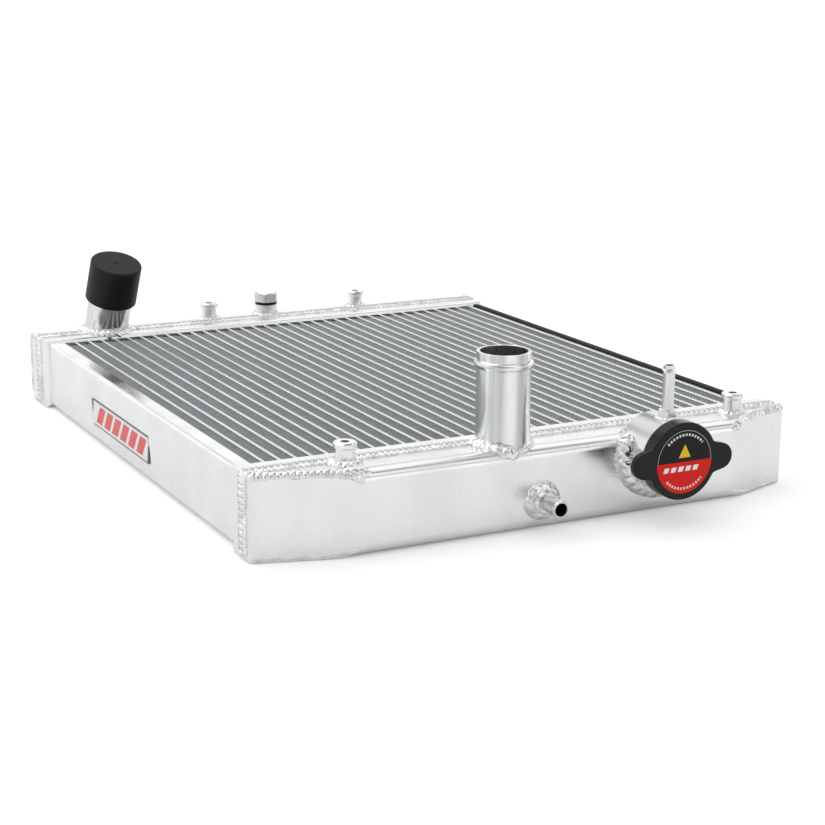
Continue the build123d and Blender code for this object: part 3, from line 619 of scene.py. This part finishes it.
chamfer_beads = []
for end_x, bend_x in runs:
    lean_out = Vector((slant_depth if end_x > bend_x else -slant_depth, -abs(end_x - bend_x), 0)).normalized()
    top_seam, bottom_seam = [], []
    for i in range(slant_steps + 1):
        x = end_x + (bend_x - end_x) * i / slant_steps
        y = end_y + (tank_low.y - end_y) * i / slant_steps
        fold_height = bend_height(y)
        top_seam.append(((x, y + 0.3 * MM, fold_height - 0.4 * MM), lean_out + Vector((0, 0, 1))))
        bottom_seam.append(((x, y + 0.8 * MM, tank_high.z - fold_height + 0.9 * MM),
                            lean_out + Vector((0, 0, -0.6))))
    chamfer_beads.append(bead(top_seam, width=5.6, height=1.7, pitch=3.6, groove=0.7, unevenness=0.4,
                              seed=21))
    chamfer_beads.append(bead(bottom_seam, width=3.5, height=1.0, pitch=3.0, groove=0.5, unevenness=0.5,
                              seed=22))
weld("inlet_tank_ends", *chamfer_beads, record_slot="brushed_sheet")

# End plates of the outlet tank: a thin bead round three sides of each.
low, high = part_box("outlet_tank")
plate_beads = []
for side in (-1, 1):
    x, inset = (high.x if side > 0 else low.x), 1.2 * MM
    start_y, top, back_y = low.y + 0.006, high.z, high.y
    out = (side, 0, 0)
    points = between((x, start_y, top - inset), (x, back_y - bend, top - inset), 12, out)
    points += [((x, back_y - bend + (bend - inset) * math.sin(a), top - bend + (bend - inset) * math.cos(a)),
                Vector(out)) for a in (math.radians(15 * k) for k in range(1, 6))]
    points += between((x, back_y - inset, top - bend), (x, back_y - inset, bend), 12, out)
    points += [((x, back_y - bend + (bend - inset) * math.cos(a), bend - (bend - inset) * math.sin(a)),
                Vector(out)) for a in (math.radians(15 * k) for k in range(1, 6))]
    points += between((x, back_y - bend, inset), (x, start_y, inset), 12, out)
    plate_beads.append(bead(points, width=3.6, height=0.7, pitch=2.6, groove=0.5, unevenness=0.3,
                            seed=31 + side))
weld("outlet_tank_ends", *plate_beads, record_slot="brushed_sheet")


# ---------------------------------------------------------------- side channels
# Folded sheet that closes the core's sides, with a flange turned in over the last fins.
# The cross grain is left by the rollers.
channel_sheet = aluminium("channel_sheet", (1, 0.04, 1))
coat(channel_sheet, "side_channel_left", "side_channel_right")


# ---------------------------------------------------------------- inlet pipe
# Rolled and beaded pipe, polished lengthways, welded to the tank top where the sheet starts to bend.
# The weld is heavy on the side that faces forwards and thin round the rest.
pipe_metal = aluminium("pipe_metal", (1, 1, 0.05), Grain_Scale=700.0, Cloud_Direction=(1, 1, 0.03),
                       Cloud_Scale=110.0, Smooth=0.12, Rough=0.30, Bright=(0.95, 0.955, 0.96, 1),
                       Dull=(0.50, 0.52, 0.53, 1), Relief=0.12)
coat(pipe_metal, "inlet_pipe")
pipe_low, pipe_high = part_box("inlet_pipe")
pipe_x, pipe_y = (pipe_low.x + pipe_high.x) / 2, (pipe_low.y + pipe_high.y) / 2
pipe_radius = 16 * MM


def foot_ring(x, y, radius, start, end, count, height_at, flare=1.0):
    """Part of a ring round an upright pipe's foot, at the height of the metal under each point."""
    points = []
    for i in range(count + 1):
        turn = math.radians(start + (end - start) * i / count)
        out = Vector((math.cos(turn), math.sin(turn), 0))
        here = Vector((x, y, 0)) + out * radius
        points.append((here + Vector((0, 0, height_at(here.y))), out * flare + Vector((0, 0, 1))))
    return points


heavy = foot_ring(pipe_x, pipe_y, pipe_radius + 0.8 * MM, 150, 275, 30, lambda y: bend_height(y) + 0.6 * MM)
light = foot_ring(pipe_x, pipe_y, pipe_radius + 0.4 * MM, 270, 515, 50, lambda y: bend_height(y) + 0.4 * MM)
weld("inlet_pipe",
     bead(heavy, width=8.5, height=3.4, root=2.0, pitch=5.6, groove=0.75, unevenness=0.3, taper=4.0, seed=41),
     bead(light, width=5.0, height=2.2, root=2.0, pitch=3.0, groove=0.25, unevenness=0.2, taper=4.0, seed=42))


# ---------------------------------------------------------------- outlet pipe
# The pipe leans towards the core and forwards, in a ring of weld that follows its slanted foot.
# A soft rubber cup closes it until the hose goes on.
outlet_metal = aluminium("outlet_pipe_metal", (1, 1, 0.05), Grain_Scale=700.0, Cloud_Direction=(1, 1, 0.03),
                         Cloud_Scale=90.0, Smooth=0.16, Rough=0.30, Dull=(0.74, 0.75, 0.76, 1), Relief=0.12)
coat(outlet_metal, "outlet_pipe")
low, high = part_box("outlet_tank")
outlet_x, outlet_y = -129.5 * MM, 211.1 * MM
outlet_lean = Vector((0.0699, -0.364, 1)).normalized()
foot = []
for i in range(64):
    turn = 2 * math.pi * i / 64
    side_a = Vector((1, 0, 0)) - outlet_lean * outlet_lean.x
    side_a.normalize()
    side_b = outlet_lean.cross(side_a)
    out = side_a * math.cos(turn) + side_b * math.sin(turn)
    reach = out * (pipe_radius + 0.8 * MM)
    here = Vector((outlet_x, outlet_y, high.z)) + reach
    here -= outlet_lean * ((here.z - high.z - 0.6 * MM) / outlet_lean.z)
    foot.append((here, out + Vector((0, 0, 1))))
weld("outlet_pipe",
     bead(foot, closed=True, width=7.5, height=2.8, root=2.0, pitch=4.0, groove=0.5, unevenness=0.4, seed=51))

# ---------------------------------------------------------------- filler neck
# Turned neck with the cap's seat and groove, let into the tank's front edge. A heavy bead fills the corner
# round its lower part, and a lighter one closes the saddle where it lies on the tank's top.
# The neck's metal is darkened to grey as painted shade, standing in for the shading on its shoulder.
neck_metal_painted_shade = aluminium("neck_metal_painted_shade", (1, 0.05, 1), Cloud_Direction=(1, 0.3, 1), Smooth=0.16, Rough=0.30,
                         Bright=(0.82, 0.83, 0.845, 1), Dull=(0.52, 0.54, 0.56, 1))
coat(neck_metal_painted_shade, "filler_neck")
neck_low, neck_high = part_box("filler_neck")
neck_x, neck_z, neck_radius = (neck_low.x + neck_high.x) / 2, 38.5 * MM, 22.5 * MM


def face_depth(z):
    """How far the inlet tank's front lies behind its foremost face at a height."""
    into = max(0.0, z - (tank_high.z - bend), bend - z)
    return bend - math.sqrt(max(0.0, bend ** 2 - min(into, bend) ** 2))


def corner_bead(x, z, radius, start, end, count, stand_off):
    """Seam in the corner between the tank's front and a round that stands on it."""
    points = []
    for i in range(count):
        turn = math.radians(start + (end - start) * i / (count - 1))
        out = Vector((math.cos(turn), 0, math.sin(turn)))
        here = Vector((x, 0, z)) + out * radius
        here.y = tank_low.y + face_depth(here.z)
        points.append((here + (out - Vector((0, 1, 0))) * stand_off, out - Vector((0, 1, 0))))
    return points


crossing = math.degrees(math.asin((tank_high.z - neck_z) / neck_radius))
heavy = corner_bead(neck_x, neck_z, neck_radius, 180 - crossing, 292, 44, 2.4 * MM)
slim = corner_bead(neck_x, neck_z, neck_radius, 286, 360 + crossing, 40, 1.4 * MM)
half_chord = neck_radius * math.cos(math.radians(crossing))
saddle_y = tank_low.y + 8.6 * MM
saddle = []
for side in (-1, 1):
    saddle.append(between((neck_x + side * (half_chord + 1.4 * MM), tank_low.y + 5.5 * MM,
                           tank_high.z + 0.5 * MM),
                          (neck_x + side * (half_chord + 0.4 * MM), saddle_y, tank_high.z + 0.5 * MM), 6,
                          (side, 0, 1)))
saddle.append(between((neck_x - half_chord, saddle_y, tank_high.z + 0.4 * MM),
                      (neck_x + half_chord, saddle_y, tank_high.z + 0.4 * MM), 24, (0, 0.6, 1)))
weld("filler_neck",
     bead(heavy, width=10.4, height=3.4, root=3.8, pitch=6.0, groove=0.55, lean=1.0, unevenness=0.12,
          taper=5.0, seed=61),
     bead(slim, width=6.8, height=1.9, root=2.8, pitch=4.6, groove=0.5, lean=0.9, unevenness=0.12, taper=5.0,
          seed=62), bead(saddle[0], width=6.5, height=2.2, pitch=3.6, groove=0.4, unevenness=0.4, seed=63),
     bead(saddle[1], width=5.0, height=1.8, pitch=3.6, groove=0.4, unevenness=0.4, seed=64),
     bead(saddle[2], width=5.0, height=1.4, pitch=3.6, groove=0.4, unevenness=0.3, seed=65))


# ---------------------------------------------------------------- overflow nipple
# Turned tail with a hexagon at its root, set in a flat on top of the neck. A thin run of weld closes it,
# and a hose carries what the cap lets out.
nipple_metal = aluminium("nipple_metal", (1, 1, 0.04), Grain_Scale=1100.0, Smooth=0.14, Rough=0.30,
                         Dull=(0.78, 0.79, 0.80, 1), Bright=(0.94, 0.945, 0.95, 1))
coat(nipple_metal, "overflow_nipple")
tail_low, tail_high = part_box("overflow_nipple")
tail_x, tail_y = (tail_low.x + tail_high.x) / 2, (tail_low.y + tail_high.y) / 2
nut_reach = (tail_high.x - tail_low.x) / 2
flat_height = neck_z + math.sqrt(neck_radius ** 2 - (nut_reach + 0.3 * MM) ** 2)
tail_ring = foot_ring(tail_x, tail_y, nut_reach + 0.1 * MM, 0, 360, 40, lambda y: flat_height + 0.3 * MM)[:-1]
weld("overflow_nipple",
     bead(tail_ring, closed=True, width=3.2, height=1.5, root=1.2, pitch=2.4, groove=0.4, unevenness=0.5,
          seed=71))


# ---------------------------------------------------------------- hose nipple
# A short bung is welded to the tank's front with a domed bead. The hose nipple, a plain turned tube, is
# screwed into it.
coat(nipple_metal, "hose_nipple_bung")
# The hose nipple's metal is darkened as painted shade, standing in for the shading along the tube.
hose_tube_shade_paint = aluminium("hose_nipple_shade_paint", (1, 0.04, 1), Grain_Scale=1100.0, Cloud_Scale=90.0, Smooth=0.12,
                       Rough=0.24, Bright=(0.82, 0.83, 0.84, 1), Dull=(0.55, 0.57, 0.59, 1))
coat(hose_tube_shade_paint, "hose_nipple")
bung_low, bung_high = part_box("hose_nipple_bung")
bung_x, bung_z = (bung_low.x + bung_high.x) / 2, (bung_low.z + bung_high.z) / 2
bung_radius = (bung_high.x - bung_low.x) / 2
bung_ring = corner_bead(bung_x, bung_z, bung_radius, 20, 380, 49, 1.6 * MM)[:-1]
weld("hose_nipple",
     bead(bung_ring, closed=True, width=7.4, height=2.3, root=3.0, pitch=6.2, groove=0.5, unevenness=0.12,
          seed=81))


# ---------------------------------------------------------------- fan mounting bosses
# Four turned bosses with tapped holes stand on the tanks. Each is held by one turn of weld, and the one at
# the front left took a heavier run that flowed over the tank's edge.
boss_metal = aluminium("boss_metal", (1, 1, 0.05), Grain_Scale=1000.0, Smooth=0.18, Rough=0.34,
                       Dull=(0.86, 0.87, 0.88, 1))
coat(boss_metal, "fan_mount_bosses")
boss_radius = 5.6 * MM
row_shift = tank_low.y + 224.2 * MM
front_row, rear_row = -206.5 * MM + row_shift, 205.1 * MM + row_shift
bosses = {"front_left": (-124.0, front_row, 2.0, 7.4, 3.0), "front_right": (142.0, front_row, 1.3, 5.2, 2.0),
          "rear_left": (-45.5, rear_row, 1.3, 5.0, 2.0), "rear_right": (79.0, rear_row, 1.3, 5.0, 2.0)}
for number, (label, (x, y, gap, width, height)) in enumerate(bosses.items()):
    surface_height = bend_height if y < 0 else (lambda _: tank_high.z)
    turn = foot_ring(x * MM, y, boss_radius + gap * MM, 30, 390, 41,
                     lambda here_y: surface_height(here_y) + 0.5 * MM, flare=0.7)[:-1]
    beads = [bead(turn, closed=True, width=width, height=height, root=1.4, pitch=3.4, groove=0.4,
                  unevenness=0.45, seed=91 + number)]
    if label == "front_left":
        spill = between((x * MM - 9 * MM, tank_low.y + 4.6 * MM, 0),
                        (x * MM + 9 * MM, tank_low.y + 2.4 * MM, 0), 14, (0, -1, 1))
        spill = [(Vector((p.x, p.y, bend_height(p.y) - 0.4 * MM)), out) for p, out in spill]
        beads.append(bead(spill, width=8.0, height=2.4, root=2.0, pitch=5.0, groove=0.35, unevenness=0.5,
                          taper=6.0, seed=97))
    weld("boss_" + label, *beads)


# ---------------------------------------------------------------- drain
# A threaded bung on the outlet tank, closed by a bright hexagon plug. The plug squeezes a rubber washer
# onto the bung's face.
coat(boss_metal, "drain_bung")
plug_metal = aluminium("plug_metal", (0.06, 1, 1), Grain_Scale=1300.0, Smooth=0.12, Rough=0.24,
                       Dull=(0.84, 0.85, 0.86, 1))
coat(plug_metal, "drain_plug")
drain_low, drain_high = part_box("drain_bung")
drain_x, drain_y = (drain_low.x + drain_high.x) / 2, (drain_low.y + drain_high.y) / 2
drain_ring = foot_ring(drain_x, drain_y, (drain_high.x - drain_low.x) / 2 + 1.2 * MM, 0, 360, 45,
                       lambda y: tank_high.z + 0.4 * MM)[:-1]
weld("drain_bung",
     bead(drain_ring, closed=True, width=5.0, height=1.9, root=1.4, pitch=3.4, groove=0.4, unevenness=0.3,
          seed=101))


def soft_black(name, scale, shade, rough, depth):
    """Rubber or foam: dull black with a fine skin."""
    made, tree, shader = material(name)
    spot = object_place(tree)
    skin = noise(tree, spot, scale, 4.0, Roughness=0.65)
    dust = noise(tree, spot, 60.0, 3.0)
    light, dark = (shade * 1.7, shade * 1.7, shade * 1.75, 1), (shade * 0.8, shade * 0.8, shade * 0.8, 1)
    wear = math_node(tree, "MULTIPLY_ADD", skin, 0.2, rough - 0.1)
    pores = add(tree, "ShaderNodeBump", {"Strength": 0.35, "Distance": depth, "Height": skin})
    feed(tree, shader, Base_Color=mixed(tree, dark, dust, light), Roughness=wear, Normal=pores.outputs[0])
    shader.inputs["Specular IOR Level"].default_value = 0.2
    return made


rubber = soft_black("black_rubber", 900.0, 0.009, 0.45, 0.0001)
coat(rubber, "drain_washer")


# ---------------------------------------------------------------- lower mounting pins
# Two turned pins with a collar, welded to the back of the outlet tank. They stand in rubber bushes in the
# car.
coat(boss_metal, "lower_mount_pins")
pins_low, pins_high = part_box("lower_mount_pins")
outlet_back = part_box("outlet_tank")[1].y
collar_radius = (pins_high.z - pins_low.z) / 2
pin_beads = []
for side in (-1, 1):
    ring_points = []
    for i in range(44):
        turn = 2 * math.pi * i / 44
        out = Vector((math.cos(turn), 0, math.sin(turn)))
        centre = Vector((side * (pins_high.x - collar_radius), outlet_back, (pins_low.z + pins_high.z) / 2))
        ring_points.append((centre + out * (collar_radius + 0.8 * MM) + Vector((0, 0.4 * MM, 0)),
                            out + Vector((0, 1, 0))))
    pin_beads.append(bead(ring_points, closed=True, width=4.6, height=1.6, root=1.2, pitch=3.2, groove=0.4,
                          unevenness=0.3, seed=112 + side))
weld("lower_pins", *pin_beads)


# ---------------------------------------------------------------- dust cap
# Moulded rubber cup pushed over the outlet pipe for shipping. It has a dimple on top and is pulled off by
# hand.
coat(rubber, "outlet_dust_cap")


# ---------------------------------------------------------------- foam strip
# Self-adhesive closed-cell foam along the right channel, which seals against the fan shroud. It is slightly
# uneven where it was pressed down, and its cut ends are rounded.
tree, given = geometry_tree("foam_bead",
                            [("Width", "NodeSocketFloat", 0.007), ("Height", "NodeSocketFloat", 0.0018),
                             ("Steps", "NodeSocketInt", 180), ("Unevenness", "NodeSocketFloat", 0.12),
                             ("End Round", "NodeSocketFloat", 0.003), ("Seed", "NodeSocketInt", 4)])
strip_line = curve_from(tree, given["Source"])
strip_line = add(tree, "GeometryNodeResampleCurve", {"Curve": strip_line, "Count": given["Steps"]}).outputs[0]
along = add(tree, "GeometryNodeSplineParameter").outputs
rail = capture(tree, strip_line, middle=position(tree),
               run=along["Length"], whole=add(tree, "GeometryNodeSplineLength").outputs["Length"])
hoop = add(tree, "GeometryNodeCurvePrimitiveCircle", {"Resolution": 20, "Radius": 1.0}).outputs["Curve"]
hoop = capture(tree, hoop, turn=add(tree, "GeometryNodeSplineParameter").outputs["Factor"])
tube = swept_along(tree, rail["Geometry"], hoop["Geometry"])
angle = times(tree, hoop["turn"], 2 * math.pi)
cosine, sine = math_node(tree, "COSINE", angle), math_node(tree, "SINE", angle)


def squared(wave, power):
    """Pushes a sine or cosine towards the sides of a rounded square."""
    size = math_node(tree, "POWER", math_node(tree, "ABSOLUTE", wave), power)
    return times(tree, size, math_node(tree, "SIGN", wave))


lumps = add(tree, "ShaderNodeTexNoise",
            {"Vector": rail["middle"], "W": given["Seed"], "Scale": 60.0, "Detail": 2.0},
            noise_dimensions="4D").outputs["Fac"]
swell = times(tree, minus(tree, lumps, 0.5), given["Unevenness"])
swell = plus(tree, swell, 1.0 - 0.06)
from_end = math_node(tree, "MINIMUM", rail["run"], minus(tree, rail["whole"], rail["run"]))
round_off = over(tree, plus(tree, from_end, 0.0004), given["End Round"])
round_off = math_node(tree, "POWER", math_node(tree, "MINIMUM", round_off, 1.0), 0.4)
wide = times(tree, times(tree, given["Width"], 0.5), squared(cosine, 0.6))
lift_up = plus(tree, times(tree, squared(sine, 0.75), 0.5), 0.5)
lift_up = times(tree, times(tree, given["Height"], swell), lift_up)
shift = add(tree, "ShaderNodeCombineXYZ",
            {"X": times(tree, wide, round_off), "Z": times(tree, lift_up, round_off)})
finish_tree(tree, moved(tree, tube, Position=vector_node(tree, "ADD", rail["middle"], shift.outputs[0])))
strip_tree = tree

foam_black = soft_black("black_foam", 1500.0, 0.010, 0.62, 0.0002)
foam_low, foam_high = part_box("foam_strip")
foam_x = (foam_low.x + foam_high.x) / 2
foam_line = bpy.data.meshes.new("foam_line")
foam_line.from_pydata([(foam_x - 0.4 * MM, foam_low.y + 14 * MM, foam_low.z),
                       (foam_x - 0.4 * MM, foam_high.y, foam_low.z)], [(0, 1)], [])
foam_mesh = plain_mesh("foam", foam_line, strip_tree,
                       {"Width": 0.8 * (foam_high.x - foam_low.x),
                        "Height": 0.75 * (foam_high.z - foam_low.z), "Material": foam_black})
outward_faces(foam_mesh)
foam = piece("foam_seal", foam_mesh, stands_for=("foam_strip",))


# ---------------------------------------------------------------- side badge
# Printed plate stuck to the left channel: a thin dark border round white, with plain slanted red bars.
# Its gloss is a little scuffed.
badge_print, tree, shader = material("badge_print")
badge_low, badge_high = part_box("side_badge")
badge_y, badge_z = (badge_low.y + badge_high.y) / 2, (badge_low.z + badge_high.z) / 2
badge_half, badge_rise = (badge_high.y - badge_low.y) / 2, (badge_high.z - badge_low.z) / 2
spot = axes(tree, object_place(tree))


def inside_of(tree, value, limit):
    """1 where a value lies within the limit on both sides of zero."""
    return math_node(tree, "LESS_THAN", math_node(tree, "ABSOLUTE", value), limit)


rise = minus(tree, spot["Z"], badge_z)
slant = times(tree, rise, 0.222)
across = plus(tree, minus(tree, spot["Y"], badge_y), slant)
field = times(tree, inside_of(tree, rise, badge_rise - 0.9 * MM),
              inside_of(tree, across, badge_half - 2.8 * MM))
bar_pitch, bar_count = 16.4 * MM, 6
leaning = plus(tree, across, times(tree, rise, 0.5))
bar_run = over(tree, leaning, bar_pitch)
bars = math_node(tree, "LESS_THAN", math_node(tree, "FRACT", plus(tree, bar_run, 40.0)), 0.74)
bars = times(tree, bars, inside_of(tree, rise, badge_rise - 2.8 * MM))
bars = times(tree, bars, inside_of(tree, leaning, bar_count * bar_pitch / 2))
ink = mixed(tree, (0.025, 0.025, 0.028, 1), field, (0.80, 0.80, 0.80, 1))
ink = mixed(tree, ink, bars, (0.72, 0.035, 0.028, 1))
scuff = noise(tree, object_place(tree), 260.0, 4.0)
feed(tree, shader, Base_Color=ink, Roughness=math_node(tree, "MULTIPLY_ADD", scuff, 0.16, 0.18))
coat(badge_print, "side_badge")


# ---------------------------------------------------------------- pressure cap shell
# Pressed steel plate and skirt with two ears to turn it by. The black paint is glossy, with a faint ripple
# and a few smears.
cap_paint, tree, shader = material("cap_paint")
spot = object_place(tree)
ripple, smears = noise(tree, spot, 420.0, 2.0), noise(tree, spot, 70.0, 4.0)
paint = mixed(tree, (0.008, 0.008, 0.009, 1), smears, (0.016, 0.016, 0.017, 1))
gloss = math_node(tree, "MULTIPLY_ADD", smears, 0.14, 0.10)
peel = add(tree, "ShaderNodeBump", {"Strength": 0.12, "Distance": 0.0002, "Height": ripple})
feed(tree, shader, Base_Color=paint, Roughness=gloss, Normal=peel.outputs[0])
shader.inputs["Specular IOR Level"].default_value = 0.22
coat(cap_paint, "cap_shell")


# ---------------------------------------------------------------- cap label
# Round printed foil on the cap's plate: black over red, with a plain yellow triangle, and rows of short
# dashes where print would stand.
label_print, tree, shader = material("label_print")
label_low, label_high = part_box("cap_label")
label_x, label_z = (label_low.x + label_high.x) / 2, (label_low.z + label_high.z) / 2
label_radius = (label_high.x - label_low.x) / 2
spot = axes(tree, object_place(tree))
across = minus(tree, spot["X"], label_x)
rise = minus(tree, spot["Z"], label_z)
reach = math_node(tree, "SQRT", plus(tree, times(tree, across, across), times(tree, rise, rise)))
upper = math_node(tree, "GREATER_THAN", rise, 0.0)
lower = minus(tree, 1.0, upper)
border = inside_of(tree, minus(tree, reach, label_radius - 0.5 * MM), 0.22 * MM)
dash_band = inside_of(tree, minus(tree, reach, label_radius - 3.0 * MM), 0.75 * MM)
around = math_node(tree, "ARCTAN2", across, math_node(tree, "ABSOLUTE", rise))
dashes = math_node(tree, "LESS_THAN", math_node(tree, "FRACT", times(tree, around, 7.3)), 0.58)
dashes = times(tree, dashes, inside_of(tree, around, 0.86))
dashes = times(tree, dashes, dash_band)
slope = times(tree, minus(tree, 10.6 * MM, rise), 0.53)
triangle = times(tree, math_node(tree, "LESS_THAN", math_node(tree, "ABSOLUTE", across), slope),
                 math_node(tree, "GREATER_THAN", rise, 2.6 * MM))
lean_run = minus(tree, across, times(tree, rise, 0.35))
stripes = math_node(tree, "FRACT", plus(tree, over(tree, lean_run, 5.2 * MM), 20.5))
stripes = times(tree, math_node(tree, "LESS_THAN", stripes, 0.66), inside_of(tree, lean_run, 12.8 * MM))
stripes = times(tree, stripes, inside_of(tree, plus(tree, rise, 4.2 * MM), 1.5 * MM))
ink = mixed(tree, (0.014, 0.014, 0.015, 1), lower, (0.72, 0.016, 0.012, 1))
ink = mixed(tree, ink, times(tree, border, upper), (0.35, 0.36, 0.37, 1))
ink = mixed(tree, ink, dashes, (0.72, 0.72, 0.72, 1))
ink = mixed(tree, ink, triangle, (0.86, 0.52, 0.02, 1))
ink = mixed(tree, ink, stripes, (0.86, 0.86, 0.86, 1))
haze = noise(tree, object_place(tree), 300.0, 3.0)
feed(tree, shader, Base_Color=ink, Roughness=math_node(tree, "MULTIPLY_ADD", haze, 0.12, 0.24))
shader.inputs["Specular IOR Level"].default_value = 0.14
coat(label_print, "cap_label")


# ---------------------------------------------------------------- cap valve
# Zinc-plated pressings, a brass vacuum valve and moulded rubber seals hang inside the cap, between two
# steel springs.
plated = aluminium("plated_steel", (1, 1, 1), Grain_Scale=700.0, Bright=(0.74, 0.73, 0.70, 1),
                   Dull=(0.58, 0.57, 0.55, 1), Smooth=0.22, Rough=0.36, Relief=0.1)
coat(plated, "cap_rivet", "cap_spring_cage", "pressure_plate")
spring_wire = aluminium("spring_wire", (1, 1, 1), Grain_Scale=900.0, Bright=(0.58, 0.58, 0.59, 1),
                        Dull=(0.42, 0.42, 0.43, 1), Smooth=0.2, Rough=0.34, Relief=0.1)
coat(spring_wire, "pressure_spring", "vacuum_spring")


def working_spring(node, body):
    """Copy of a coil that rides on the given body."""
    coil = nodes[node].data.copy()
    coil.transform(nodes[node].matrix_world)
    made = piece(node + "_coil", coil, body=body, stands_for=(node,))
    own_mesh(made)


working_spring("pressure_spring", "cap_valve_unit")
working_spring("vacuum_spring", "pressure_valve")
brass = aluminium("brass", (1, 1, 1), Grain_Scale=900.0, Bright=(0.88, 0.68, 0.34, 1),
                  Dull=(0.70, 0.50, 0.22, 1), Smooth=0.18, Rough=0.34, Relief=0.1)
coat(brass, "vacuum_valve")
coat(rubber, "pressure_seal", "cap_diaphragm")
